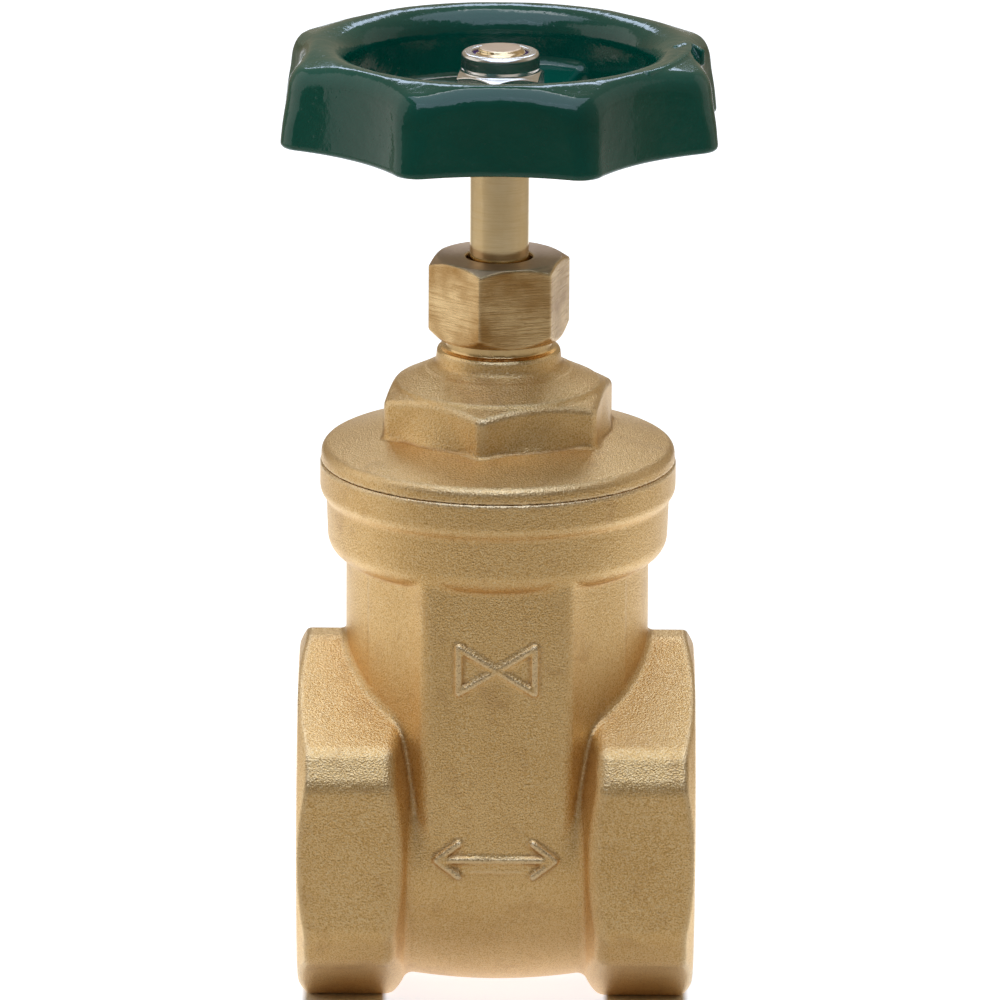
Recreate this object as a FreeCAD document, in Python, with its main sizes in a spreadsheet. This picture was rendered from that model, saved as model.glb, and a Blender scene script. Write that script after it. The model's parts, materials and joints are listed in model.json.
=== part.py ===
import FreeCAD, Part
import os
import re

import Sketcher
from FreeCAD import Placement, Rotation, Vector

# Gate valve with a non-rising stem and a screwed bonnet, millimetres.
#
# Frame: the valve stands on the two lowest collar corners. The origin is on that ground plane,
# under the middle of the valve. +X runs along the pipe from inlet to outlet, +Z up the stem.
# Every sub-part is drawn about the pipe axis and lifted by the height of that axis, so a
# "level" is a height above the pipe axis and a "reach" is a distance from the stem axis.

DIMENSIONS = (
    # pipe ends
    ("collar_across_flats", 55.0, "hexagon of each pipe end, flat to flat"),
    ("collar_corner_reach", 30.05, "pipe axis to the small flat that cuts each hexagon corner"),
    ("collar_blank_radius", 31.9, "turned blank that the hexagon is cut from"),
    ("collar_root_reach", 13.7, "stem axis to the collar's inner side at the barrel"),
    ("collar_shoulder_reach", 17.2, "stem axis to the collar's inner side at the blank radius"),
    ("collar_chamfer_reach", 29.35, "stem axis to the start of the outer chamfer"),
    ("overlap", 1.0, "how far hidden ends of pieces and cutters run past a face"),
    ("end_face_radius", 27.0, "flat of the end face, outer radius"),
    ("end_face_reach", 31.6, "stem axis to the end face"),
    ("port_radius", 23.9, "wall of the pipe thread, major diameter of G 1 1/2"),
    ("port_mouth_radius", 24.8, "countersink of the port"),
    ("port_mouth_depth", 0.9, "depth of that countersink"),
    ("port_floor_reach", 16.0, "stem axis to the bottom of the port"),
    ("seat_bore_radius", 18.0, "flow bore through the seats"),
    # body
    ("barrel_radius", 24.6, "barrel round the wedge chamber"),
    ("barrel_drop", 2.2, "barrel centre below the pipe axis"),
    ("barrel_half_length", 15.0, "half of the barrel's length"),
    ("chamber_radius", 21.9, "wedge chamber inside the barrel"),
    ("chamber_top_level", 28.0, "top of the tapered chamber"),
    ("neck_radius", 24.07, "round neck above the barrel"),
    ("neck_bore_radius", 21.57, "inside of the neck and of the bonnet skirt"),
    ("neck_floor_level", 26.5, "floor of the round neck cavity, over the ports"),
    ("panel_half_width", 11.3, "flat front and back panel, half of its width"),
    ("panel_reach", 24.6, "stem axis to that panel"),
    ("panel_root_half_width", 18.0, "half of the width at the root of the panel"),
    ("panel_root_reach", 15.0, "stem axis to the root of the panel"),
    ("ring_root_level", 43.5, "where the body ring leaves the neck"),
    ("ring_side_level", 48.5, "lower end of the body ring's straight side"),
    ("ring_radius", 27.24, "lower step of the body ring"),
    ("ring_step_level", 53.3, "upper end of the lower step"),
    ("ring_edge_radius", 27.95, "rounded foot of the upper step, drawn as two slopes"),
    ("ring_edge_level", 54.6, "level where those slopes meet"),
    ("ring_upper_radius", 28.27, "upper step of the body ring"),
    ("ring_upper_level", 57.0, "lower end of the upper step's straight side"),
    ("ring_top_level", 58.95, "machined top face of the body"),
    ("bonnet_thread_radius", 23.95, "female bonnet thread in the body"),
    ("bonnet_thread_level", 46.0, "bottom of the bonnet thread"),
    ("gasket_recess_radius", 26.7, "recess for the gasket"),
    ("gasket_recess_level", 58.3, "floor of that recess"),
    ("rib_half_width", 2.0, "guide rib, half of its thickness along the pipe"),
    ("rib_inner_reach", 18.9, "stem axis to the guide rib's inner face"),
    ("rib_outer_reach", 22.8, "buried side of the guide rib"),
    ("rib_bottom_level", -10.0, "lower end of the guide rib"),
    ("rib_top_level", 45.5, "upper end of the guide rib"),
    # bonnet
    ("skirt_radius", 23.9, "male thread of the bonnet skirt"),
    ("joint_level", 59.05, "underside of the bonnet flange"),
    ("flange_radius", 28.1, "rim of the bonnet flange"),
    ("flange_high_level", 60.2, "upper end of that rim"),
    ("flange_top_radius", 26.6, "edge of the flange's top face"),
    ("flange_top_level", 61.7, "level of that edge"),
    ("bonnet_hex_across_flats", 34.0, "bonnet spanner hexagon, flat to flat"),
    ("bonnet_hex_turn", 22.0, "turn of that hexagon about the stem"),
    ("hex_base_level", 64.7, "flange top face at the hexagon"),
    ("hex_top_level", 69.85, "upper end of the hexagon's corners"),
    ("hex_blank_radius", 20.2, "turned blank of that hexagon"),
    ("flare_low_radius", 13.4, "concave shoulder above the hexagon, lower step"),
    ("flare_low_level", 73.0, "level of the lower step"),
    ("flare_mid_radius", 10.5, "concave shoulder, upper step"),
    ("flare_mid_level", 74.7, "level of the upper step"),
    ("shoulder_radius", 9.75, "small shoulder under the gland neck"),
    ("shoulder_level", 77.5, "top of that shoulder"),
    ("gland_neck_radius", 8.47, "threaded gland neck"),
    ("gland_neck_level", 87.5, "top of the gland neck"),
    ("dome_low_level", 57.0, "where the bonnet cavity starts to close in"),
    ("boss_chamber_radius", 9.6, "narrow part of the cavity, round the wedge boss"),
    ("boss_chamber_level", 62.0, "lower end of that part"),
    ("lock_nut_level", 69.3, "lower face of the stem lock nut"),
    ("lock_nut_top_level", 73.3, "upper face of the stem lock nut"),
    ("lock_nut_pocket_radius", 9.0, "thread for the stem lock nut"),
    ("collar_pocket_radius", 7.9, "pocket for the stem collar"),
    ("thrust_shoulder_level", 76.7, "shoulder that takes the stem's lift"),
    ("guide_bore_radius", 4.76, "running bore for the stem"),
    ("packing_floor_level", 79.2, "floor of the packing box"),
    ("packing_box_radius", 6.6, "inside of the packing box"),
    # stem
    ("stem_bottom_level", 23.0, "lower end of the stem"),
    ("stem_lead_in", 1.2, "chamfer at the lower end"),
    ("stem_thread_radius", 6.0, "trapezoidal thread, outside"),
    ("stem_thread_end_radius", 4.9, "small end of the lead-in"),
    ("stem_radius", 4.68, "polished stem"),
    ("stem_collar_radius", 7.6, "thrust collar"),
    ("stem_collar_level", 74.1, "lower face of the thrust collar"),
    ("stem_collar_top_level", 75.9, "upper face of the thrust collar"),
    ("ring_groove_radius", 3.2, "root of the O-ring groove"),
    ("ring_groove_level", 77.1, "lower side of the O-ring groove"),
    ("ring_groove_top_level", 78.7, "upper side of the O-ring groove"),
    ("drive_level", 108.6, "lower end of the four flats that drive the wheel"),
    ("drive_across_flats", 8.0, "across those flats"),
    ("wheel_thread_radius", 4.0, "thread for the wheel nut"),
    ("wheel_thread_level", 115.7, "lower end of that thread"),
    ("stem_tip_radius", 3.3, "small end of the stem's top chamfer"),
    ("stem_tip_chamfer", 0.7, "height of that chamfer"),
    ("stem_top_level", 125.9, "upper end of the stem"),
    ("lead", 3.0, "travel of the wedge for one turn of the stem"),
    ("o_ring_middle_radius", 3.97, "centre line of the O-ring"),
    ("o_ring_wire_radius", 0.73, "half of the O-ring's thickness"),
    # wedge
    ("wedge_radius", 19.4, "round seat face of the wedge"),
    ("wedge_half_thickness", 8.5, "half of its thickness at the pipe axis"),
    ("wedge_slope", 0.06, "growth of that half thickness with height"),
    ("seat_gap", 0.1, "gap between wedge and seat when closed"),
    ("web_half_thickness", 3.2, "guide web behind the faces"),
    ("web_reach", 19.9, "half of the guide web's width"),
    ("web_bottom_level", -4.0, "lower end of the guide web"),
    ("web_top_level", 12.0, "upper end of the guide web"),
    ("slot_half_width", 2.3, "guide slot, half of its width"),
    ("slot_reach", 18.6, "stem axis to the bottom of the guide slot"),
    ("wedge_boss_radius", 8.8, "threaded boss of the wedge"),
    ("wedge_boss_level", 31.0, "top of that boss"),
    ("wedge_thread_radius", 6.06, "tapped hole for the stem"),
    ("wedge_thread_level", 17.0, "lower end of the tapped length"),
    ("wedge_relief_radius", 6.5, "clearance bore under the thread"),
    ("wedge_relief_level", -16.0, "floor of the clearance bore"),
    # stem lock nut, washers and packing
    ("lock_nut_radius", 8.95, "outside of the stem lock nut"),
    ("lock_nut_bore_radius", 6.3, "inside of the stem lock nut"),
    ("lock_nut_slot_width", 2.4, "spanner slot"),
    ("lock_nut_slot_depth", 1.2, "depth of the spanner slot"),
    ("washer_outer_radius", 7.8, "outside of both thrust washers"),
    ("lower_washer_top_level", 74.05, "upper face of the lower thrust washer"),
    ("upper_washer_bore_radius", 4.98, "inside of the upper thrust washer"),
    ("upper_washer_level", 75.95, "lower face of the upper thrust washer"),
    ("packing_bore_radius", 4.76, "inside of packing and gland pieces"),
    ("packing_outer_radius", 6.56, "outside of packing and gland pieces"),
    ("packing_bottom_level", 80.0, "upper face of the packing washer"),
    ("packing_ring_height", 1.74, "height of one packing ring"),
    ("gland_foot_level", 85.22, "lower end of the gland follower"),
    ("gland_flange_level", 88.3, "underside of the gland follower's flange"),
    ("gland_flange_radius", 8.1, "gland follower's flange"),
    ("gland_top_level", 89.7, "top of the gland follower"),
    # packing nut
    ("packing_nut_across_flats", 20.1, "packing nut, flat to flat"),
    ("packing_nut_turn", 14.0, "turn of the packing nut about the stem"),
    ("packing_nut_blank_radius", 11.7, "turned blank of the packing nut"),
    ("packing_nut_level", 79.2, "bottom of the packing nut"),
    ("packing_nut_foot_radius", 9.9, "bottom face of the packing nut"),
    ("packing_nut_foot_level", 81.0, "upper end of its lower chamfer"),
    ("packing_nut_crown_level", 91.1, "lower end of its upper chamfer"),
    ("packing_nut_crown_radius", 9.8, "top face of the packing nut"),
    ("packing_nut_top_level", 92.2, "top of the packing nut"),
    ("packing_nut_thread_radius", 8.52, "thread inside the packing nut"),
    ("packing_nut_hole_radius", 5.3, "hole for the stem in its top"),
    # handwheel
    ("rim_bottom_level", 112.7, "lower edge of the rim"),
    ("rim_bottom_radius", 36.5, "lobes of the rim at that edge"),
    ("rim_side_level", 121.2, "upper end of the drafted side"),
    ("rim_side_radius", 36.0, "lobes of the rim at that level"),
    ("rim_bend_radius", 34.8, "crown of the rim, outer bend"),
    ("rim_bend_level", 124.0, "level of that bend"),
    ("rim_crown_low_radius", 32.3, "crown of the rim, outer edge of its gentle slope"),
    ("rim_crown_low_level", 125.7, "level of that edge"),
    ("rim_crown_radius", 29.3, "top of the crown, outer edge"),
    ("rim_top_level", 126.75, "top of the wheel"),
    ("rim_crown_inner_radius", 27.3, "top of the crown, inner edge"),
    ("rim_opening_level", 125.7, "level where the crown turns down"),
    ("rim_opening_radius", 24.9, "round opening in the wheel"),
    ("rim_inner_radius", 23.9, "inner wall of the rim"),
    ("rim_inner_level", 115.5, "lower edge of the inner wall"),
    ("rim_wall", 2.6, "wall of the hollow rim"),
    ("facet_reach", 32.2, "stem axis to the middle of each concave facet"),
    ("facet_radius", 34.0, "concave curve of each facet"),
    ("facet_turn", -0.5, "turn of the wheel about the stem"),
    ("hub_radius", 9.5, "hub of the wheel"),
    ("hub_level", 108.6, "bottom of the hub"),
    ("hub_top_level", 115.9, "top of the hub"),
    ("hub_flat_play", 0.05, "play on each flat of the square hole"),
    ("spoke_width", 9.0, "width of a spoke"),
    ("spoke_height", 4.2, "thickness of a spoke"),
    ("spoke_start_reach", 6.5, "stem axis to the inner end of a spoke"),
    ("spoke_start_level", 110.4, "underside of a spoke at its inner end"),
    ("spoke_length", 19.9, "length of a spoke along its slope"),
    ("spoke_rise", 11.5, "slope of a spoke in degrees"),
    ("wheel_bore_radius", 4.73, "round corners of the square hole"),
    # wheel fasteners
    ("wheel_washer_radius", 8.0, "flat washer under the wheel nut"),
    ("wheel_washer_bore_radius", 4.2, "bore of that washer"),
    ("wheel_nut_level", 117.35, "bottom of the wheel nut"),
    ("wheel_nut_across_flats", 13.0, "wheel nut, flat to flat"),
    ("wheel_nut_turn", 22.0, "turn of the wheel nut about the stem"),
    ("wheel_nut_blank_radius", 7.45, "turned blank of the wheel nut"),
    ("wheel_nut_foot_radius", 6.7, "bottom face of the wheel nut"),
    ("wheel_nut_chamfer", 0.45, "chamfer at the bottom of the wheel nut"),
    ("wheel_nut_shoulder_level", 121.6, "upper end of the hexagon's corners"),
    ("wheel_nut_collar_level", 122.4, "foot of the nut's round collar"),
    ("wheel_nut_collar_radius", 6.14, "round collar of the nut"),
    ("wheel_nut_top_level", 125.35, "top of the nut"),
    ("wheel_nut_bore_radius", 4.02, "thread of the nut"),
    ("insert_level", 122.4, "bottom of the locking insert"),
    ("insert_top_level", 124.75, "top of the locking insert"),
    ("insert_radius", 5.25, "outside of the locking insert"),
    ("insert_mouth_radius", 4.4, "lip that holds the insert"),
    # bonnet gasket
    ("gasket_inner_radius", 24.15, "inside of the bonnet gasket"),
    ("gasket_outer_radius", 26.6, "outside of the bonnet gasket"),
)

FLOOR = "0"
FACETS = 8
SPOKES = 4
SPOKE_ANGLE = 67.5

doc = FreeCAD.newDocument("gate_valve")
sheet = doc.addObject("Spreadsheet::Sheet", "sizes")
for row, (alias, value, note) in enumerate(DIMENSIONS, start=1):
    sheet.set(f"A{row}", alias)
    sheet.set(f"B{row}", str(value))
    sheet.set(f"C{row}", note)
    sheet.setAlias(f"B{row}", alias)
doc.recompute()

sub_parts = []


def bound(text):
    """An expression with every name in it read from the sheet of sizes."""
    return re.sub(r"\b[a-z][a-z_]*\b(?!\()", lambda name: "sizes." + name.group(0), text)


def value_of(text):
    """The present value of such an expression."""
    return float(sheet.evalExpression(bound(text)))


def bind(item, **properties):
    """Bind properties of an object to expressions."""
    for name, text in properties.items():
        item.setExpression(name, bound(text))
    return item


def place(item, x=None, y=None, z=None):
    """Bind an object's place to expressions."""
    for axis, text in (("x", x), ("y", y), ("z", z)):
        if text is not None:
            item.setExpression("Placement.Base." + axis, bound(text))
    return item


def turn(item, axis, degrees):
    """Turn an object about a direction through its own origin."""
    item.Placement = Placement(item.Placement.Base, Rotation(axis, degrees))
    return item


def part_object(kind, name, **properties):
    """A primitive whose sizes are bound to the sheet."""
    return bind(doc.addObject("Part::" + kind, name), **properties)


def combine(kind, name, *members):
    """A Fuse, Cut or Common of two objects, or a multi one of several."""
    if len(members) == 2:
        item = doc.addObject("Part::" + kind, name)
        item.Base, item.Tool = members
        return item
    item = doc.addObject("Part::Multi" + kind, name)
    item.Shapes = list(members)
    return item


def sub_part(item, label):
    """Name an object as a piece of the valve and lift it to the height of the pipe axis."""
    item.Label = label
    place(item, z="collar_corner_reach")
    sub_parts.append(item)
    return item


def origin_plane(body, role):
    """A body's own origin plane."""
    return next(f for f in body.Origin.OriginFeatures if f.Role == role)


def draw_outline(sketch, outline):
    """A closed outline of straight runs through (radius, level) pairs, each bound to the sheet."""
    points = [Vector(value_of(radius), value_of(level), 0) for radius, level in outline]
    following = points[1:] + points[:1]
    for start, end in zip(points, following):
        sketch.addGeometry(Part.LineSegment(start, end), False)
    count = len(points)
    for index in range(count):
        sketch.addConstraint(Sketcher.Constraint("Coincident", index, 2, (index + 1) % count, 1))
    for index, (radius, level) in enumerate(outline):
        if radius == FLOOR:
            sketch.addConstraint(Sketcher.Constraint("PointOnObject", index, 1, -2))
        else:
            across = Sketcher.Constraint("DistanceX", -1, 1, index, 1, value_of(radius))
            number = sketch.addConstraint(across)
            sketch.setExpression(f"Constraints[{number}]", bound(radius))
        if level == FLOOR:
            sketch.addConstraint(Sketcher.Constraint("PointOnObject", index, 1, -1))
        else:
            up = Sketcher.Constraint("DistanceY", -1, 1, index, 1, value_of(level))
            number = sketch.addConstraint(up)
            sketch.setExpression(f"Constraints[{number}]", bound(level))


def turned(name, outline):
    """A solid of revolution about the stem axis."""
    body = doc.addObject("PartDesign::Body", name)
    sketch = body.newObject("Sketcher::SketchObject", name + "_outline")
    sketch.AttachmentSupport = (origin_plane(body, "XZ_Plane"), "")
    sketch.MapMode = "FlatFace"
    draw_outline(sketch, outline)
    revolution = body.newObject("PartDesign::Revolution", name + "_turning")
    revolution.Profile = sketch
    revolution.ReferenceAxis = (sketch, ["V_Axis"])
    revolution.Angle = 360
    body.Tip = revolution
    return body


def ring(name, inner, outer, bottom, top):
    """A plain ring about the stem axis."""
    return turned(name, ((inner, bottom), (outer, bottom), (outer, top), (inner, top)))


def hexagon(name, across_flats, bottom, top, degrees):
    """A hexagonal prism about the stem axis, a corner turned by degrees from +X."""
    prism = part_object(
        "Prism", name, Circumradius=f"{across_flats} / sqrt(3)", Height=f"({top}) - ({bottom})"
    )
    prism.Polygon = 6
    turn(prism, Vector(0, 0, 1), degrees)
    return place(prism, z=bottom)


def along_pipe(name, radius, start, length, level=FLOOR):
    """A cylinder along +X."""
    rod = part_object("Cylinder", name, Radius=radius, Height=length)
    turn(rod, Vector(0, 1, 0), 90)
    return place(rod, x=start, z=level)


def tapered_slab(name, extra_half_thickness, half_width, bottom, top):
    """A slab square to the pipe that gets thicker upwards at the wedge's slope."""
    slab = doc.addObject("Part::Wedge", name)
    low = f"wedge_half_thickness + {extra_half_thickness} + wedge_slope * ({bottom})"
    high = f"wedge_half_thickness + {extra_half_thickness} + wedge_slope * ({top})"
    bind(slab, Xmin=f"-({low})", Xmax=low, X2min=f"-({high})", X2max=high)
    bind(slab, Ymin=bottom, Ymax=top)
    bind(slab, Zmin=f"-({half_width})", Zmax=half_width)
    bind(slab, Z2min=f"-({half_width})", Z2max=half_width)
    return turn(slab, Vector(1, 0, 0), 90)


def block(name, half_length, low_y, high_y, bottom, top):
    """A box centred on the stem axis along the pipe."""
    box = part_object(
        "Box", name, Length=f"2 * {half_length}", Width=f"({high_y}) - ({low_y})",
        Height=f"({top}) - ({bottom})",
    )
    return place(box, x=f"-{half_length}", y=low_y, z=bottom)


# ---------------------------------------------------------------- body


def pipe_collars():
    """The hexagon at each pipe end, its corners cut small and both ends coned."""
    blanks = []
    for side, degrees in (("inlet", -90), ("outlet", 90)):
        blank = turned(side + "_collar_blank", (
            (FLOOR, "collar_root_reach"),
            ("barrel_radius", "collar_root_reach"),
            ("collar_blank_radius", "collar_shoulder_reach"),
            ("collar_blank_radius", "collar_chamfer_reach"),
            ("end_face_radius", "end_face_reach"),
            (FLOOR, "end_face_reach"),
        ))
        blanks.append(turn(blank, Vector(0, 1, 0), degrees))
    prisms = []
    for name, across, degrees in (
        ("collar_hexagon", "collar_across_flats", 0),
        ("collar_corner_cut", "2 * collar_corner_reach", 30),
    ):
        prism = part_object(
            "Prism", name, Circumradius=f"{across} / sqrt(3)", Height="2 * end_face_reach"
        )
        prism.Polygon = 6
        prism.Placement = Placement(
            Vector(), Rotation(Vector(0, 1, 0), 90) * Rotation(Vector(0, 0, 1), degrees)
        )
        prisms.append(place(prism, x="-end_face_reach"))
    return combine("Common", "collars", combine("Fuse", "collar_blanks", *blanks),
                   combine("Common", "collar_section", *prisms))


def neck_panel(name, degrees):
    """The flat panel on the front or back of the neck, with sloping sides."""
    panel = doc.addObject("Part::Wedge", name)
    bind(panel, Xmin="-panel_root_half_width", Xmax="panel_root_half_width")
    bind(panel, X2min="-panel_half_width", X2max="panel_half_width")
    bind(panel, Ymin="panel_root_reach", Ymax="panel_reach")
    bind(panel, Zmin="-barrel_drop", Zmax="ring_side_level - overlap")
    bind(panel, Z2min="-barrel_drop", Z2max="ring_side_level - overlap")
    return turn(panel, Vector(0, 0, 1), degrees)


def body_forging():
    """The outside of the body before machining."""
    barrel = along_pipe("barrel", "barrel_radius", "-barrel_half_length",
                        "2 * barrel_half_length", "-barrel_drop")
    neck = turned("neck", (
        (FLOOR, FLOOR),
        ("neck_radius", FLOOR),
        ("neck_radius", "ring_root_level"),
        ("ring_radius", "ring_side_level"),
        ("ring_radius", "ring_step_level"),
        ("ring_edge_radius", "ring_edge_level"),
        ("ring_upper_radius", "ring_upper_level"),
        ("ring_upper_radius", "ring_top_level"),
        (FLOOR, "ring_top_level"),
    ))
    panels = [neck_panel("front_panel", 180), neck_panel("back_panel", 0)]
    return combine("Fuse", "forging", pipe_collars(), barrel, neck, *panels)


def wedge_chamber():
    """The tapered pocket whose two sides are the seats."""
    taper = tapered_slab("chamber_taper", "seat_gap", "chamber_radius",
                         "-chamber_radius - barrel_drop", "chamber_top_level")
    round_end = along_pipe("chamber_round_end", "chamber_radius", "-port_floor_reach",
                           "2 * port_floor_reach", "-barrel_drop")
    upper = block("chamber_upper", "port_floor_reach", "-chamber_radius", "chamber_radius",
                  "-barrel_drop", "chamber_top_level")
    outline = combine("Fuse", "chamber_outline", round_end, upper)
    return combine("Common", "chamber", taper, outline)


def body():
    """Forged body with two threaded ports, integral seats and the bonnet thread."""
    cuts = [wedge_chamber()]
    cuts.append(along_pipe("seat_bore", "seat_bore_radius", "-port_floor_reach - overlap",
                           "2 * (port_floor_reach + overlap)"))
    for side, degrees in (("inlet", -90), ("outlet", 90)):
        port = turned(side + "_port", (
            (FLOOR, "port_floor_reach"),
            ("port_radius", "port_floor_reach"),
            ("port_radius", "end_face_reach - port_mouth_depth"),
            ("port_mouth_radius", "end_face_reach"),
            (FLOOR, "end_face_reach"),
        ))
        cuts.append(turn(port, Vector(0, 1, 0), degrees))
    cuts.append(turned("neck_cavity", (
        (FLOOR, "neck_floor_level"),
        ("neck_bore_radius", "neck_floor_level"),
        ("neck_bore_radius", "bonnet_thread_level"),
        ("bonnet_thread_radius", "bonnet_thread_level"),
        ("bonnet_thread_radius", "gasket_recess_level"),
        ("gasket_recess_radius", "gasket_recess_level"),
        ("gasket_recess_radius", "ring_top_level"),
        (FLOOR, "ring_top_level"),
    )))
    hollowed = combine("Cut", "machined_body", body_forging(), combine("Fuse", "body_cuts", *cuts))
    ribs = [
        block("front_guide_rib", "rib_half_width", "-rib_outer_reach", "-rib_inner_reach",
              "rib_bottom_level", "rib_top_level"),
        block("back_guide_rib", "rib_half_width", "rib_inner_reach", "rib_outer_reach",
              "rib_bottom_level", "rib_top_level"),
    ]
    return sub_part(combine("Fuse", "body", hollowed, *ribs), "body")


# ---------------------------------------------------------------- bonnet


def bonnet():
    """Screwed bonnet: skirt, flange, spanner hexagon, gland neck and the stepped bore."""
    hex_blank = turned("bonnet_hex_blank", (
        (FLOOR, "hex_base_level - overlap"),
        ("hex_blank_radius", "hex_base_level - overlap"),
        ("hex_blank_radius", "hex_top_level"),
        ("flare_low_radius", "flare_low_level"),
        (FLOOR, "flare_low_level"),
    ))
    prism = hexagon("bonnet_hex_prism", "bonnet_hex_across_flats", "hex_base_level - overlap",
                    "flare_low_level", value_of("bonnet_hex_turn"))
    spanner_hex = combine("Common", "bonnet_hexagon", hex_blank, prism)
    turned_part = turned("bonnet_turning", (
        (FLOOR, "bonnet_thread_level"),
        ("skirt_radius", "bonnet_thread_level"),
        ("skirt_radius", "joint_level"),
        ("flange_radius", "joint_level"),
        ("flange_radius", "flange_high_level"),
        ("flange_top_radius", "flange_top_level"),
        ("bonnet_hex_across_flats / 2", "hex_base_level"),
        ("flare_low_radius", "flare_low_level"),
        ("flare_mid_radius", "flare_mid_level"),
        ("shoulder_radius", "shoulder_level"),
        ("gland_neck_radius", "shoulder_level"),
        ("gland_neck_radius", "gland_neck_level"),
        (FLOOR, "gland_neck_level"),
    ))
    bore = turned("bonnet_bore", (
        (FLOOR, "bonnet_thread_level"),
        ("neck_bore_radius", "bonnet_thread_level"),
        ("neck_bore_radius", "dome_low_level"),
        ("boss_chamber_radius", "boss_chamber_level"),
        ("boss_chamber_radius", "lock_nut_level"),
        ("lock_nut_pocket_radius", "lock_nut_level"),
        ("lock_nut_pocket_radius", "lock_nut_top_level"),
        ("collar_pocket_radius", "lock_nut_top_level"),
        ("collar_pocket_radius", "thrust_shoulder_level"),
        ("guide_bore_radius", "thrust_shoulder_level"),
        ("guide_bore_radius", "packing_floor_level"),
        ("packing_box_radius", "packing_floor_level"),
        ("packing_box_radius", "gland_neck_level"),
        (FLOOR, "gland_neck_level"),
    ))
    outside = combine("Fuse", "bonnet_outside", turned_part, spanner_hex)
    return sub_part(combine("Cut", "bonnet", outside, bore), "bonnet")


# ---------------------------------------------------------------- stem and wedge


def stem():
    """Stem with thread, thrust collar, O-ring groove, wheel flats and wheel thread."""
    turning = turned("stem_turning", (
        (FLOOR, "stem_bottom_level"),
        ("stem_thread_end_radius", "stem_bottom_level"),
        ("stem_thread_radius", "stem_bottom_level + stem_lead_in"),
        ("stem_thread_radius", "stem_collar_level"),
        ("stem_collar_radius", "stem_collar_level"),
        ("stem_collar_radius", "stem_collar_top_level"),
        ("stem_radius", "stem_collar_top_level"),
        ("stem_radius", "ring_groove_level"),
        ("ring_groove_radius", "ring_groove_level"),
        ("ring_groove_radius", "ring_groove_top_level"),
        ("stem_radius", "ring_groove_top_level"),
        ("stem_radius", "wheel_thread_level"),
        ("wheel_thread_radius", "wheel_thread_level"),
        ("wheel_thread_radius", "stem_top_level - stem_tip_chamfer"),
        ("stem_tip_radius", "stem_top_level"),
        (FLOOR, "stem_top_level"),
    ))
    cutters = []
    for side, degrees in (("front", 0), ("right", 90), ("back", 180), ("left", 270)):
        cutter = part_object(
            "Box", side + "_flat_cutter", Length="4 * stem_radius", Width="stem_radius",
            Height="wheel_thread_level - drive_level",
        )
        angle = degrees + value_of("facet_turn")
        cutter.Placement = Placement(Vector(), Rotation(Vector(0, 0, 1), angle))
        reach = value_of("drive_across_flats / 2")
        cutter.Placement.Base = cutter.Placement.Rotation.multVec(
            Vector(-value_of("2 * stem_radius"), reach, value_of("drive_level"))
        )
        cutters.append(cutter)
    flats = combine("Fuse", "drive_flats", *cutters)
    return sub_part(combine("Cut", "stem", turning, flats), "stem")


def stem_o_ring():
    """O-ring in the stem's groove."""
    torus = part_object("Torus", "o_ring", Radius1="o_ring_middle_radius",
                        Radius2="o_ring_wire_radius")
    torus.Label = "stem_o_ring"
    place(torus, z="collar_corner_reach + (ring_groove_level + ring_groove_top_level) / 2")
    sub_parts.append(torus)


def wedge():
    """Solid wedge with two seat faces, a guide web with slots and a threaded boss."""
    faces = combine("Common", "seat_faces",
                    along_pipe("wedge_disc", "wedge_radius", "-port_floor_reach",
                               "2 * port_floor_reach"),
                    tapered_slab("wedge_taper", FLOOR, "web_reach",
                                 "-web_reach", "web_reach"))
    web = block("guide_web", "web_half_thickness", "-web_reach", "web_reach",
                "web_bottom_level", "web_top_level")
    boss = turned("wedge_boss", (
        (FLOOR, FLOOR),
        ("wedge_boss_radius", FLOOR),
        ("wedge_boss_radius", "wedge_boss_level"),
        (FLOOR, "wedge_boss_level"),
    ))
    blank = combine("Fuse", "wedge_blank", faces, web, boss)
    tapped = part_object("Cylinder", "wedge_thread", Radius="wedge_thread_radius",
                         Height="wedge_boss_level - wedge_thread_level")
    place(tapped, z="wedge_thread_level")
    relief = part_object("Cylinder", "wedge_relief", Radius="wedge_relief_radius",
                         Height="wedge_thread_level - wedge_relief_level")
    place(relief, z="wedge_relief_level")
    slots = [
        block("front_guide_slot", "slot_half_width", "-web_reach - overlap", "-slot_reach",
              "-wedge_radius", "wedge_radius"),
        block("back_guide_slot", "slot_half_width", "slot_reach", "web_reach + overlap",
              "-wedge_radius", "wedge_radius"),
    ]
    cuts = combine("Fuse", "wedge_cuts", tapped, relief, *slots)
    return sub_part(combine("Cut", "wedge", blank, cuts), "wedge")


# ---------------------------------------------------------------- pieces inside the bonnet


def stem_lock_nut():
    """Ring nut that holds the stem's collar up in the bonnet, with two spanner slots."""
    blank = ring("lock_nut_ring", "lock_nut_bore_radius", "lock_nut_radius",
                 "lock_nut_level", "lock_nut_top_level")
    slot = part_object("Box", "lock_nut_slots", Length="2 * lock_nut_radius",
                       Width="lock_nut_slot_width", Height="lock_nut_slot_depth")
    place(slot, x="-lock_nut_radius", y="-lock_nut_slot_width / 2", z="lock_nut_level")
    sub_part(combine("Cut", "lock_nut", blank, slot), "stem_lock_nut")


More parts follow.
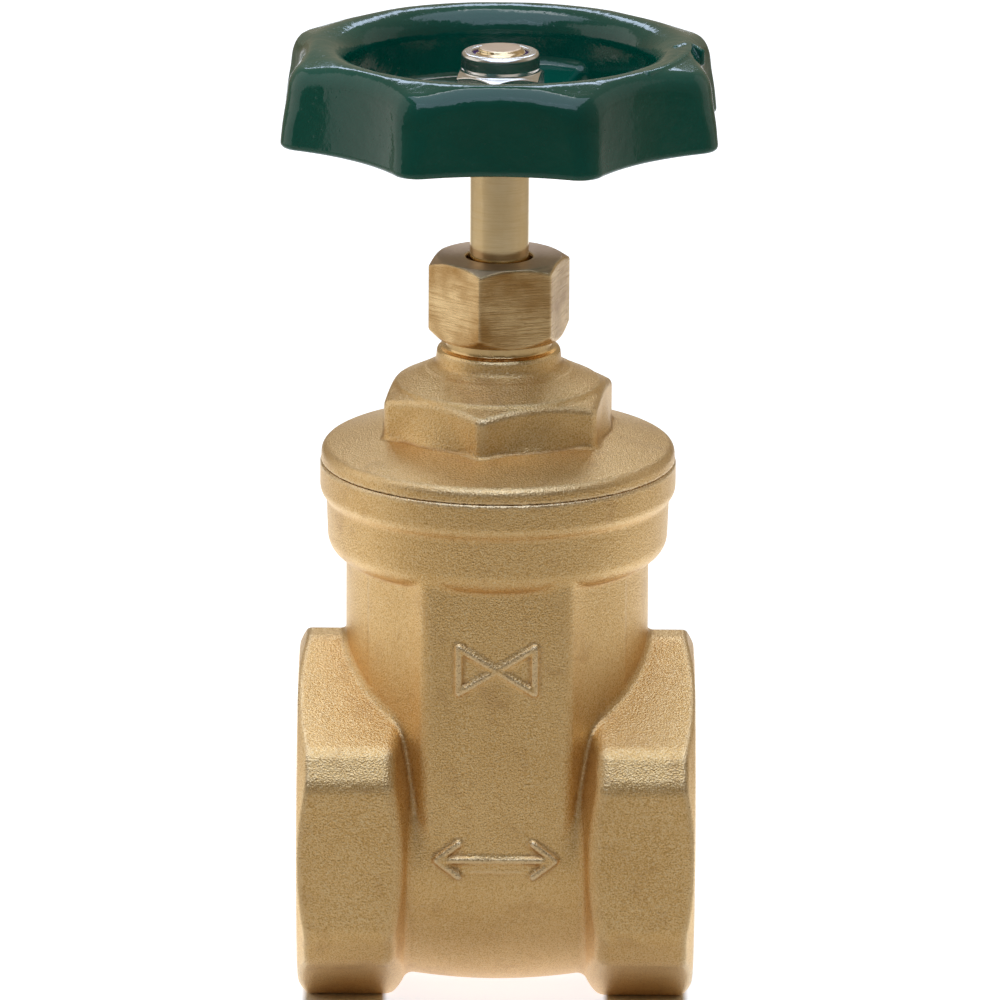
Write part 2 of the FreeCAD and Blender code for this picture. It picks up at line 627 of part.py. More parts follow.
def washers_and_packing():
    """Plain rings stacked on the stem, each its own piece."""
    stack = (
        ("bonnet_gasket", "gasket_inner_radius", "gasket_outer_radius",
         "gasket_recess_level", "joint_level"),
        ("lower_thrust_washer", "lock_nut_bore_radius", "washer_outer_radius",
         "lock_nut_top_level", "lower_washer_top_level"),
        ("upper_thrust_washer", "upper_washer_bore_radius", "washer_outer_radius",
         "upper_washer_level", "thrust_shoulder_level"),
        ("packing_washer", "packing_bore_radius", "packing_outer_radius",
         "packing_floor_level", "packing_bottom_level"),
        ("wheel_washer", "wheel_washer_bore_radius", "wheel_washer_radius",
         "hub_top_level", "wheel_nut_level"),
        ("wheel_nut_insert", "wheel_nut_bore_radius", "insert_radius",
         "insert_level", "insert_top_level"),
    )
    for name, inner, outer, bottom, top in stack:
        sub_part(ring(name + "_ring", inner, outer, bottom, top), name)
    for number, name in enumerate(("lower", "middle", "upper")):
        bottom = f"packing_bottom_level + {number} * packing_ring_height"
        top = f"packing_bottom_level + {number + 1} * packing_ring_height"
        packing = ring(f"packing_{name}", "packing_bore_radius", "packing_outer_radius", bottom, top)
        sub_part(packing, f"packing_ring_{name}")


def gland_follower():
    """Flanged bush that the packing nut presses onto the packing."""
    sub_part(turned("follower", (
        ("packing_bore_radius", "gland_foot_level"),
        ("packing_outer_radius", "gland_foot_level"),
        ("packing_outer_radius", "gland_flange_level"),
        ("gland_flange_radius", "gland_flange_level"),
        ("gland_flange_radius", "gland_top_level"),
        ("packing_bore_radius", "gland_top_level"),
    )), "gland_follower")


# ---------------------------------------------------------------- nuts


def packing_nut():
    """Hexagonal gland nut, chamfered at both ends."""
    blank = turned("packing_nut_blank", (
        ("packing_nut_thread_radius", "packing_nut_level"),
        ("packing_nut_foot_radius", "packing_nut_level"),
        ("packing_nut_blank_radius", "packing_nut_foot_level"),
        ("packing_nut_blank_radius", "packing_nut_crown_level"),
        ("packing_nut_crown_radius", "packing_nut_top_level"),
        ("packing_nut_hole_radius", "packing_nut_top_level"),
        ("packing_nut_hole_radius", "gland_top_level"),
        ("packing_nut_thread_radius", "gland_top_level"),
    ))
    prism = hexagon("packing_nut_prism", "packing_nut_across_flats", "packing_nut_level",
                    "packing_nut_top_level", value_of("packing_nut_turn"))
    sub_part(combine("Common", "gland_nut", blank, prism), "packing_nut")


def wheel_nut():
    """Self-locking hexagon nut with a round collar over its insert."""
    blank = turned("wheel_nut_blank", (
        ("wheel_nut_bore_radius", "wheel_nut_level"),
        ("wheel_nut_foot_radius", "wheel_nut_level"),
        ("wheel_nut_blank_radius", "wheel_nut_level + wheel_nut_chamfer"),
        ("wheel_nut_blank_radius", "wheel_nut_shoulder_level"),
        ("wheel_nut_collar_radius", "wheel_nut_collar_level"),
        ("wheel_nut_collar_radius", "wheel_nut_top_level - wheel_nut_chamfer"),
        ("wheel_nut_collar_radius - wheel_nut_chamfer", "wheel_nut_top_level"),
        ("insert_mouth_radius", "wheel_nut_top_level"),
        ("insert_mouth_radius", "insert_top_level"),
        ("insert_radius", "insert_top_level"),
        ("insert_radius", "insert_level"),
        ("wheel_nut_bore_radius", "insert_level"),
    ))
    prism = hexagon("wheel_nut_prism", "wheel_nut_across_flats", "wheel_nut_level",
                    "wheel_nut_top_level", value_of("wheel_nut_turn"))
    sub_part(combine("Common", "locking_nut", blank, prism), "wheel_nut")


# ---------------------------------------------------------------- handwheel


def facet_cutters(prefix, reach):
    """Eight upright cylinders that cut the wheel's concave facets."""
    cutters = []
    for number in range(FACETS):
        name = f"{prefix}_{number + 1}"
        cutter = part_object("Cylinder", name, Radius="facet_radius",
                             Height="2 * (rim_top_level - rim_bottom_level)")
        angle = 360 / FACETS * number + value_of("facet_turn")
        away = value_of(f"{reach} + facet_radius")
        base = Rotation(Vector(0, 0, 1), angle).multVec(Vector(away, 0, 0))
        cutter.Placement.Base = base
        place(cutter, z="rim_bottom_level - overlap")
        cutters.append(cutter)
    return combine("Fuse", prefix, *cutters)


def handwheel():
    """Eight-lobed hollow rim on four rising spokes, with a square hole in the hub."""
    rim_blank = turned("rim_blank", (
        ("rim_inner_radius", "rim_inner_level"),
        ("rim_inner_radius + rim_wall", "rim_inner_level"),
        ("rim_inner_radius + rim_wall", "rim_bottom_level"),
        ("rim_bottom_radius", "rim_bottom_level"),
        ("rim_side_radius", "rim_side_level"),
        ("rim_bend_radius", "rim_bend_level"),
        ("rim_crown_low_radius", "rim_crown_low_level"),
        ("rim_crown_radius", "rim_top_level"),
        ("rim_crown_inner_radius", "rim_top_level"),
        ("rim_opening_radius", "rim_opening_level"),
        ("rim_inner_radius", "rim_side_level"),
    ))
    rim = combine("Cut", "rim", rim_blank, facet_cutters("facets", "facet_reach"))
    hollow_blank = turned("hollow_blank", (
        ("rim_inner_radius + rim_wall", "rim_bottom_level"),
        ("rim_bottom_radius - rim_wall", "rim_bottom_level"),
        ("rim_side_radius - rim_wall", "rim_side_level"),
        ("rim_crown_radius", "rim_top_level - rim_wall"),
        ("rim_crown_inner_radius", "rim_top_level - rim_wall"),
        ("rim_inner_radius + rim_wall", "rim_side_level"),
    ))
    hollow = combine("Cut", "rim_hollow", hollow_blank,
                     facet_cutters("hollow_facets", "facet_reach - rim_wall"))
    hub = turned("hub", (
        (FLOOR, "hub_level"),
        ("hub_radius", "hub_level"),
        ("hub_radius", "hub_top_level"),
        (FLOOR, "hub_top_level"),
    ))
    spokes = []
    for number in range(SPOKES):
        spoke = part_object("Box", f"spoke_{number + 1}", Length="spoke_length",
                            Width="spoke_width", Height="spoke_height")
        about = Rotation(Vector(0, 0, 1), SPOKE_ANGLE + 360 / SPOKES * number)
        spoke.Placement.Rotation = about * Rotation(Vector(0, 1, 0), -value_of("spoke_rise"))
        spoke.Placement.Base = about.multVec(Vector(
            value_of("spoke_start_reach"), -value_of("spoke_width / 2"),
            value_of("spoke_start_level"),
        ))
        spokes.append(spoke)
    blank = combine("Fuse", "wheel_blank", combine("Cut", "hollow_rim", rim, hollow), hub, *spokes)
    square = part_object("Box", "square_hole", Length="drive_across_flats + 2 * hub_flat_play",
                         Width="drive_across_flats + 2 * hub_flat_play",
                         Height="hub_top_level - hub_level")
    half = value_of("drive_across_flats / 2 + hub_flat_play")
    square.Placement.Rotation = Rotation(Vector(0, 0, 1), value_of("facet_turn"))
    square.Placement.Base = square.Placement.Rotation.multVec(Vector(-half, -half, 0))
    place(square, z="hub_level")
    bore = part_object("Cylinder", "hole_corners", Radius="wheel_bore_radius",
                       Height="hub_top_level - hub_level")
    place(bore, z="hub_level")
    hole = combine("Common", "drive_hole", square, bore)
    return sub_part(combine("Cut", "wheel", blank, hole), "handwheel")


body()
bonnet()
stem()
stem_o_ring()
wedge()
stem_lock_nut()
washers_and_packing()
gland_follower()
packing_nut()
handwheel()
wheel_nut()
doc.recompute()

for item in doc.Objects:
    if "Invalid" in item.State or "Error" in item.State:
        raise RuntimeError(f"{item.Name} did not compute: {item.State}")
os.makedirs("parts", exist_ok=True)
for item in sub_parts:
    shape = item.Shape
    if shape.isNull() or not shape.isValid() or not shape.Solids:
        raise RuntimeError(f"{item.Label} is not a valid solid")
    print(f"{item.Label:22} solids {len(shape.Solids)}  volume {shape.Volume:10.1f} mm3  "
          f"z {shape.BoundBox.ZMin:7.2f} to {shape.BoundBox.ZMax:7.2f}")
    shape.exportStep(f"parts/{item.Label}.step")
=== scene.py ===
import json
import math

import bpy
import numpy as np
import openvdb
from mathutils import Matrix, Vector


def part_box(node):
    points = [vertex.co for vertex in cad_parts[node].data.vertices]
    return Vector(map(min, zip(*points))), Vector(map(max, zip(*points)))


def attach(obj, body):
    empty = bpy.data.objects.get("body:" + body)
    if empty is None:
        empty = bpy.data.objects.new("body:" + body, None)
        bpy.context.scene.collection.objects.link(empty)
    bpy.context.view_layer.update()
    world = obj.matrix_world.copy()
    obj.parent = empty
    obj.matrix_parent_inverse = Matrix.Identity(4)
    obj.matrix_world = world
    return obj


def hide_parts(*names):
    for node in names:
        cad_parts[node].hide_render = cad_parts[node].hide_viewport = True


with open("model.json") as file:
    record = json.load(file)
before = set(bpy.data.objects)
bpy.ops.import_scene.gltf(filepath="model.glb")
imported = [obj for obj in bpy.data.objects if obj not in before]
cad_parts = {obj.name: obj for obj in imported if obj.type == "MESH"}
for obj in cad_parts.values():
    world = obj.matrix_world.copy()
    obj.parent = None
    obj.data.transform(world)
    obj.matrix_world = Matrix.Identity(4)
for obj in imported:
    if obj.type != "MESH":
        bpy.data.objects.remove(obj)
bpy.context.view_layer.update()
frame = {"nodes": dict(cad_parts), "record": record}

# Gate valve. Lengths here are millimetres about the pipe axis: x along the pipe, z up the stem,
# front at -y. MM and PIPE_HEIGHT take them to the frame, whose z starts under the valve.
# Solids are signed distance fields: negative inside, positive outside.

MM = 0.001
PORTS = {mount["name"]: mount for mount in frame["record"]["mounts"]}
PIPE_HEIGHT = PORTS["inlet"]["pos_m"][2] / MM


def node_level(node, end):
    """Lowest (end 0) or highest (end 1) level of a CAD node above the pipe axis."""
    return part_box(node)[end][2] / MM - PIPE_HEIGHT


def node_reach(node):
    """Half of a CAD node's size along x."""
    low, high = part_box(node)
    return (high[0] - low[0]) / 2 / MM


# ---------------------------------------------------------------- distance fields


def join(a, b, fillet):
    """Union of two solids with a concave fillet."""
    near_a = np.maximum(fillet - a, 0)
    near_b = np.maximum(fillet - b, 0)
    return np.maximum(fillet, np.minimum(a, b)) - np.sqrt(near_a * near_a + near_b * near_b)


def meet(a, b, rounding):
    """Intersection of two solids with rounded edges."""
    return -join(-a, -b, rounding)


def cut(a, b, rounding):
    """Solid a without solid b."""
    return meet(a, -b, rounding)


def prism(u, v, half_width, flat_angle, sides=6, rounding=0.3):
    """Regular prism along the third axis, with one flat facing flat_angle degrees from u."""
    field = None
    for number in range(sides // 2):
        angle = math.radians(flat_angle + 360 / sides * number)
        flat = np.abs(u * math.cos(angle) + v * math.sin(angle)) - half_width
        field = flat if field is None else meet(field, flat, rounding)
    return field


def slope(u, v, through, rise):
    """Half plane under the line through (u, v) that climbs by rise in v for 1 in u."""
    return ((v - through[1]) - rise * (u - through[0])) / math.sqrt(1 + rise * rise)


def between(u, low, high):
    """Slab from low to high."""
    return np.abs(u - (low + high) / 2) - (high - low) / 2


def stroke(u, v, start, end, half_width):
    """Rounded bar from start to end in the plane of u and v."""
    along = (end[0] - start[0], end[1] - start[1])
    length_2 = along[0] ** 2 + along[1] ** 2
    share = ((u - start[0]) * along[0] + (v - start[1]) * along[1]) / length_2
    share = np.clip(share, 0, 1)
    return np.hypot(u - start[0] - share * along[0], v - start[1] - share * along[1]) - half_width


def rounded_outline(corners, steps=7):
    """Points of a closed outline whose corners (radius, level, rounding) are arcs."""
    points = []
    count = len(corners)
    for index, (radius, level, rounding) in enumerate(corners):
        corner = Vector((radius, level))
        before = Vector(corners[index - 1][:2]) - corner
        after = Vector(corners[(index + 1) % count][:2]) - corner
        if rounding <= 0:
            points.append(corner)
            continue
        before.normalize()
        after.normalize()
        half = before.angle(after) / 2
        centre = corner + (before + after).normalized() * (rounding / math.sin(half))
        start = corner + before * (rounding / math.tan(half)) - centre
        sweep = math.pi - 2 * half
        if before.x * after.y - before.y * after.x > 0:
            sweep = -sweep
        for step in range(steps + 1):
            turn = Matrix.Rotation(sweep * step / steps, 2)
            points.append(centre + turn @ start)
    return np.array([tuple(point) for point in points])


def turned(corners, spacing=0.07, margin=1.5):
    """Field of a solid turned about z, read from a fine table of its section."""
    outline = rounded_outline(corners)
    low = outline.min(0) - margin
    low[0] = max(low[0], 0)
    high = outline.max(0) + margin
    radii = np.arange(low[0], high[0] + spacing, spacing)
    levels = np.arange(low[1], high[1] + spacing, spacing)
    r, z = np.meshgrid(radii, levels, indexing="ij")
    nearest = np.full(r.shape, 1e9)
    inside = np.zeros(r.shape, bool)
    for start, end in zip(outline, np.roll(outline, -1, axis=0)):
        along = end - start
        length_2 = float(along @ along)
        if length_2 < 1e-12:
            continue
        share = np.clip(((r - start[0]) * along[0] + (z - start[1]) * along[1]) / length_2, 0, 1)
        gap_r = r - start[0] - share * along[0]
        gap_z = z - start[1] - share * along[1]
        if start[0] > 1e-6 or end[0] > 1e-6:
            nearest = np.minimum(nearest, gap_r * gap_r + gap_z * gap_z)
        if start[1] != end[1]:
            crosses = (start[1] > z) != (end[1] > z)
            at = start[0] + (z - start[1]) / (end[1] - start[1]) * along[0]
            inside ^= crosses & (r < at)
    table = np.sqrt(nearest)
    table[inside] *= -1

    def field(x, y, z):
        column = (np.hypot(x, y) - low[0]) / spacing
        row = (z - low[1]) / spacing
        column = np.clip(column, 0, table.shape[0] - 1.001)
        row = np.clip(row, 0, table.shape[1] - 1.001)
        i = column.astype(np.int32)
        j = row.astype(np.int32)
        u = column - i
        v = row - j
        lower = table[i, j] * (1 - u) + table[i + 1, j] * u
        upper = table[i, j + 1] * (1 - u) + table[i + 1, j + 1] * u
        return lower * (1 - v) + upper * v

    return field


def thread_radius(along, around, middle, depth, pitch, hand=1, sharp=1.0):
    """Radius of a rounded helical thread at a place along and an angle around its axis."""
    phase = 2 * math.pi * along / pitch - hand * around
    return middle + depth / 2 * np.tanh(sharp * np.sin(phase)) / math.tanh(sharp)


# ---------------------------------------------------------------- meshes


def gradient(field, points, reach=0.02):
    """Slope of a field at points, by differences."""
    result = np.empty_like(points)
    for axis in range(3):
        step = np.zeros(3)
        step[axis] = reach
        ahead = field(*(points + step).T)
        behind = field(*(points - step).T)
        result[:, axis] = (ahead - behind) / (2 * reach)
    return result


def solid(name, field, low, high, cell, marks=None):
    """Closed mesh of the surface where the field is zero, its points moved exactly onto it."""
    axes = [np.arange(l, h + cell, cell) for l, h in zip(low, high)]
    x, y, z = np.meshgrid(*axes, indexing="ij", sparse=True)
    band = 3 * cell
    grid = openvdb.FloatGrid()
    grid.background = band
    samples = np.clip(field(x, y, z), -band, band)
    grid.copyFromArray(np.ascontiguousarray(samples, dtype=np.float32))
    points, _, quads = grid.convertToPolygons(isovalue=0.0, adaptivity=0.0)
    points = points.astype(np.float64) * cell + np.array([axis[0] for axis in axes])
    for _ in range(4):
        way = gradient(field, points)
        size = np.maximum((way * way).sum(1), 0.2)
        move = (field(*points.T) / size)[:, None] * way
        points -= np.clip(move, -0.4 * cell, 0.4 * cell)
    mesh = mesh_from(name, points, quads)
    add_edge_mark(mesh, points, gradient(field, points))
    if marks:
        for mark, marker in marks.items():
            add_mark(mesh, mark, marker(*points.T))
    return mesh


def mesh_from(name, points, faces):
    """Blender object with smooth shading from points in millimetres."""
    mesh = bpy.data.meshes.new(name)
    placed = (points + np.array((0, 0, PIPE_HEIGHT))) * MM
    size = faces.shape[1]
    mesh.vertices.add(len(placed))
    mesh.vertices.foreach_set("co", placed.astype(np.float32).ravel())
    mesh.loops.add(faces.size)
    mesh.loops.foreach_set("vertex_index", faces.astype(np.int32).ravel())
    mesh.polygons.add(len(faces))
    mesh.polygons.foreach_set("loop_start", np.arange(0, faces.size, size, dtype=np.int32))
    mesh.polygons.foreach_set("loop_total", np.full(len(faces), size, dtype=np.int32))
    mesh.update(calc_edges=True)
    mesh.validate()
    mesh.polygons.foreach_set("use_smooth", np.ones(len(mesh.polygons), bool))
    piece = bpy.data.objects.new(name, mesh)
    bpy.context.scene.collection.objects.link(piece)
    return piece


def add_mark(piece, mark, values):
    """A number for each point of a piece, for its material to read."""
    layer = piece.data.attributes.new(mark, "FLOAT", "POINT")
    layer.data.foreach_set("value", np.asarray(values, np.float32))


def add_edge_mark(piece, points, normals):
    """How sharply each point bends: above 0 on outer edges, below 0 in corners, per millimetre."""
    normals = normals / np.maximum(np.linalg.norm(normals, axis=1), 1e-9)[:, None]
    edges = np.empty(len(piece.data.edges) * 2, np.int32)
    piece.data.edges.foreach_get("vertices", edges)
    first, second = edges.reshape(-1, 2).T
    apart = points[first] - points[second]
    bend = ((normals[first] - normals[second]) * apart).sum(1)
    bend /= np.maximum((apart * apart).sum(1), 1e-9)
    count = np.bincount(edges, minlength=len(points))
    for _ in range(3):
        total = np.bincount(first, bend, len(points)) + np.bincount(second, bend, len(points))
        mean = total / np.maximum(count, 1)
        bend = (mean[first] + mean[second]) / 2
    add_mark(piece, "edge", np.clip(mean, -4, 4))


def lathe(name, corners, segments=96):
    """Mesh turned about z from a closed outline with rounded corners."""
    outline = rounded_outline(corners)
    angles = np.linspace(0, 2 * math.pi, segments, endpoint=False)
    points = np.array([
        (r * math.cos(a), r * math.sin(a), z) for a in angles for r, z in outline
    ])
    count = len(outline)
    faces = []
    for column in range(segments):
        beside = (column + 1) % segments
        for row in range(count):
            above = (row + 1) % count
            faces.append((column * count + row, beside * count + row,
                          beside * count + above, column * count + above))
    piece = mesh_from(name, points, np.array(faces))
    add_mark(piece, "edge", np.zeros(len(points)))
    return piece


def finish_piece(piece, body, slot, material, *nodes):
    """Ride, stand for CAD nodes, and take a material."""
    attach(piece, body)
    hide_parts(*nodes)
    piece.data.materials.append(material)
    return piece


# ---------------------------------------------------------------- materials


class Nodes:
    """Short calls for building one material."""

    def __init__(self, name):
        self.material = bpy.data.materials.new(name)
        self.material.use_nodes = True
        self.tree = self.material.node_tree
        self.shader = self.tree.nodes["Principled BSDF"]
        self.place = self.add("ShaderNodeTexCoord").outputs["Object"]

    def add(self, kind, **settings):
        node = self.tree.nodes.new(kind)
        for key, value in settings.items():
            setattr(node, key, value)
        return node

    def link(self, source, target):
        self.tree.links.new(source, target)

    def put(self, socket, value):
        """Link an output to a socket, or set a plain value."""
        if isinstance(value, bpy.types.NodeSocket):
            self.link(value, socket)
        else:
            socket.default_value = value

    def math(self, operation, a, b=0.5):
        node = self.add("ShaderNodeMath", operation=operation)
        for socket, value in zip(node.inputs, (a, b)):
            self.put(socket, value)
        return node.outputs[0]

    def noise(self, scale, detail=3.0, roughness=0.5, stretch=None):
        """Noise from 0 to 1 whose scale is in features per metre."""
        place = self.place
        if stretch:
            mapping = self.add("ShaderNodeMapping")
            self.link(place, mapping.inputs["Vector"])
            mapping.inputs["Scale"].default_value = stretch
            place = mapping.outputs["Vector"]
        node = self.add("ShaderNodeTexNoise")
        self.link(place, node.inputs["Vector"])
        node.inputs["Scale"].default_value = scale
        node.inputs["Detail"].default_value = detail
        node.inputs["Roughness"].default_value = roughness
        return node.outputs["Fac"]

    def cells(self, scale):
        """Distance to the nearest of scattered points, scale in points per metre."""
        node = self.add("ShaderNodeTexVoronoi")
        self.link(self.place, node.inputs["Vector"])
        node.inputs["Scale"].default_value = scale
        return node.outputs["Distance"]

    def ramp(self, value, low, high, start=0.0, end=1.0):
        """value taken from low..high to start..end, clamped."""
        node = self.add("ShaderNodeMapRange", clamp=True)
        for socket, number in zip(node.inputs, (value, low, high, start, end)):
            self.put(socket, number)
        return node.outputs["Result"]

    def mix(self, share, a, b):
        """Colour between a (share 0) and b (share 1)."""
        node = self.add("ShaderNodeMix", data_type="RGBA")
        self.put(node.inputs["Factor"], share)
        for socket, value in zip(node.inputs[6:8], (a, b)):
            self.put(socket, value if isinstance(value, bpy.types.NodeSocket) else (*value, 1))
        return node.outputs[2]

    def mix_value(self, share, a, b):
        """Number between a (share 0) and b (share 1)."""
        node = self.add("ShaderNodeMix", data_type="FLOAT")
        for socket, value in zip((node.inputs[0], node.inputs[2], node.inputs[3]), (share, a, b)):
            self.put(socket, value)
        return node.outputs[0]

    def facing_up(self):
        """Upward part of the surface direction."""
        split = self.add("ShaderNodeSeparateXYZ")
        self.link(self.add("ShaderNodeTexCoord").outputs["Normal"], split.inputs[0])
        return split.outputs["Z"]

    def mark(self, name):
        """The number that add_mark put on each point."""
        return self.add("ShaderNodeAttribute", attribute_name=name).outputs["Fac"]

    def bump(self, height, depth, strength=1.0):
        """Bump of a height from 0 to 1, depth in metres."""
        node = self.add("ShaderNodeBump")
        node.inputs["Strength"].default_value = strength
        node.inputs["Distance"].default_value = depth
        self.put(node.inputs["Height"], height)
        return node.outputs["Normal"]

    def surface(self, **values):
        """Set the shader's inputs, named with _ for a space, and give back the material."""
        for key, value in values.items():
            if isinstance(value, tuple) and len(value) == 3:
                value = (*value, 1)
            self.put(self.shader.inputs[key.replace("_", " ")], value)
        return self.material


def forged_brass():
    """Bead-blasted brass forging, with painted shade in concave corners and painted highlights on
    outer edges; machined where the piece is marked so.
    """
    n = Nodes("forged_brass")
    grain = n.noise(4600, detail=2.0, roughness=0.6)
    pits = n.cells(3000)
    cloud = n.noise(55, detail=4.0, roughness=0.6)
    stain = n.noise(150, detail=5.0, roughness=0.7)
    edge = n.mark("edge")
    outer = n.ramp(edge, 0.10, 0.9)
    inner = n.ramp(edge, -0.10, -0.9)
    tan = n.mix(n.ramp(cloud, 0.35, 0.65), (0.78, 0.50, 0.195), (0.87, 0.585, 0.255))
    tan = n.mix(n.ramp(grain, 0.45, 0.68, 0.0, 0.8), tan, (0.95, 0.77, 0.48))
    tan = n.mix(n.ramp(grain, 0.48, 0.34, 0.0, 0.7), tan, (0.52, 0.31, 0.11))
    tan = n.mix(n.ramp(stain, 0.56, 0.74, 0.0, 0.5), tan, (0.52, 0.30, 0.13))
    # Painted shade: concave corners and creases are darkened towards brown.
    tan = n.mix(n.math("MULTIPLY", inner, 0.6), tan, (0.45, 0.24, 0.10))
    # Painted highlight: outer edges are lightened towards pale gold.
    tan = n.mix(n.math("MULTIPLY", outer, 0.6), tan, (0.92, 0.78, 0.56))
    machined = n.mark("machined")
    rings = n.noise(900, detail=2.0)
    colour = n.mix(machined, tan, (0.80, 0.58, 0.30))
    rough = n.ramp(grain, 0.3, 0.7, 0.30, 0.44)
    rough = n.math("SUBTRACT", rough, n.math("MULTIPLY", outer, 0.08))
    rough = n.mix_value(machined, rough, n.ramp(rings, 0.3, 0.7, 0.18, 0.30))
    height = n.math("ADD", n.math("MULTIPLY", grain, 0.8), n.math("MULTIPLY", pits, 0.6))
    height = n.mix_value(machined, height, n.math("MULTIPLY", rings, 0.1))
    normal = n.bump(height, 0.00009, 1.0)
    return n.surface(Base_Color=colour, Metallic=1.0, Roughness=rough, Normal=normal)


def machined_brass(name, colour, dull, roughness, mark_height):
    """Brass cut on a machine: level tool marks, dull stains on faces that look up, painted
    highlights on outer edges.
    """
    n = Nodes(name)
    fine = n.noise(110, detail=6.0, roughness=0.8, stretch=(1.5, 1.5, 45))
    cloud = n.noise(160, detail=4.0)
    edge = n.mark("edge")
    outer = n.ramp(edge, 0.3, 2.0)
    up = n.ramp(n.facing_up(), 0.6, 0.95)
    tone = n.mix(n.ramp(cloud, 0.4, 0.7), colour, dull)
    tone = n.mix(n.ramp(fine, 0.47, 0.60, 0.0, 0.8), tone, dull)
    tone = n.mix(n.math("MULTIPLY", up, 0.8), tone, (0.58, 0.43, 0.33))
    # Painted highlight: outer edges are lightened towards pale gold.
    tone = n.mix(n.math("MULTIPLY", outer, 0.6), tone, (0.92, 0.76, 0.50))
    rough = n.ramp(fine, 0.3, 0.7, roughness - 0.06, roughness + 0.08)
    rough = n.math("ADD", rough, n.math("MULTIPLY", up, 0.2))
    normal = n.bump(fine, mark_height, 0.9)
    return n.surface(Base_Color=tone, Metallic=1.0, Roughness=rough, Normal=normal)


def green_enamel():
    """Thick glossy enamel over a cast wheel, with a painted highlight on its outer edges."""
    n = Nodes("green_enamel")
    wave = n.noise(90, detail=2.0, roughness=0.4)
    lumps = n.noise(320, detail=3.0, roughness=0.55)
    speck = n.noise(1500, detail=1.0)
    cloud = n.noise(40, detail=3.0)
    tone = n.mix(n.ramp(cloud, 0.35, 0.65), (0.0, 0.062, 0.042), (0.0, 0.082, 0.056))
    outer = n.ramp(n.mark("edge"), 0.2, 1.2)
    # Painted highlight: outer edges and lobes are lightened to a paler green.
    tone = n.mix(n.math("MULTIPLY", outer, 0.4), tone, (0.0, 0.14, 0.10))
    height = n.math("ADD", wave, n.math("MULTIPLY", lumps, 0.35))
    height = n.math("ADD", height, n.math("MULTIPLY", n.ramp(speck, 0.68, 0.8), 0.06))
    return n.surface(
        Base_Color=tone, Roughness=n.ramp(lumps, 0.3, 0.7, 0.06, 0.18), IOR=1.52,
        Normal=n.bump(height, 0.0006, 0.5),
    )


def bright_steel():
    """Bright stainless steel, faintly turned."""
    n = Nodes("bright_steel")
    fine = n.noise(120, detail=4.0, roughness=0.7, stretch=(2, 2, 40))
    tone = n.mix(n.ramp(fine, 0.4, 0.7), (0.80, 0.79, 0.77), (0.66, 0.64, 0.62))
    rough = n.ramp(fine, 0.3, 0.7, 0.16, 0.28)
    return n.surface(Base_Color=tone, Metallic=1.0, Roughness=rough,
                     Normal=n.bump(fine, 0.00001, 0.5))


def plain(name, colour, shade, roughness, scale, depth):
    """Moulded or pressed stuff with a fine grain."""
    n = Nodes(name)
    grain = n.noise(scale, detail=4.0, roughness=0.6)
    tone = n.mix(n.ramp(grain, 0.35, 0.7), colour, shade)
    rough = n.ramp(grain, 0.3, 0.7, roughness - 0.07, roughness + 0.07)
    return n.surface(Base_Color=tone, Roughness=rough, Normal=n.bump(grain, depth, 0.6))


FORGED = forged_brass()
CUT_BRASS = machined_brass("machined_brass", (0.87, 0.65, 0.36), (0.46, 0.27, 0.10), 0.25, 0.00009)
POLISHED = machined_brass("polished_brass", (0.90, 0.73, 0.47), (0.80, 0.61, 0.34), 0.13, 0.000006)
ENAMEL = green_enamel()
STEEL = bright_steel()
NYLON = plain("blue_nylon", (0.045, 0.025, 0.22), (0.08, 0.02, 0.12), 0.35, 900, 0.00002)
PTFE = plain("ptfe", (0.86, 0.85, 0.80), (0.74, 0.73, 0.69), 0.5, 1800, 0.00002)
FIBRE = plain("gasket_fibre", (0.13, 0.17, 0.14), (0.08, 0.10, 0.09), 0.8, 2500, 0.00005)
RUBBER = plain("black_rubber", (0.018, 0.018, 0.019), (0.03, 0.03, 0.032), 0.55, 1500, 0.00002)

# ---------------------------------------------------------------- body

COLLAR_HALF = 27.5
CORNER_REACH = PIPE_HEIGHT
END_REACH = node_reach("body")
BARREL_RADIUS = 24.6
BARREL_DROP = 2.2
NECK_RADIUS = 24.07
RING_RADIUS = 27.24
RING_STEP = 53.3
RING_UPPER_RADIUS = 28.27
RING_TOP = 58.95
PANEL_REACH = 24.6
PANEL_HALF_WIDTH = 11.3
PANEL_SIDE = 0.70
PANEL_ROOT = 14.0
SIGN_LEVEL = 31.0
SIGN_HALF_LENGTH = 6.0
SIGN_HALF_HEIGHT = 3.7
ARROW_LEVEL = -0.3
MARK_HALF_WIDTH = 0.6
MARK_HEIGHT = 0.6
PORT_FLOOR = 16.0
PORT_MOUTH = 24.8
THREAD_MAJOR = PORTS["inlet"]["dims"]["r_mm"]
THREAD_DEPTH = 1.45
THREAD_PITCH = 25.4 / 11
SEAT_BORE = 18.0
CHAMBER_RADIUS = 21.9
NECK_BORE = 21.57
TOP_BORE = 23.95
RIB_HALF_WIDTH = 2.0
RIB_REACH = 18.9
SEAT_SLOPE = 0.06


def pipe_collar(x, y, z):
    """Both hexagonal pipe ends."""
    ax = np.abs(x)
    around = np.hypot(y, z)
    field = prism(y, z, COLLAR_HALF, 0, rounding=0.5)
    field = meet(field, prism(y, z, CORNER_REACH, 30, rounding=0.5), 0.7)
    inner_cone = (15.1 + 0.48 * (around - COLLAR_HALF) - ax) / math.hypot(1, 0.48)
    outer_cone = (ax - END_REACH + 0.46 * (around - 27.0)) / math.hypot(1, 0.46)
    field = meet(field, inner_cone, 1.3)
    field = meet(field, outer_cone, 0.5)
    return meet(field, ax - END_REACH, 0.25)


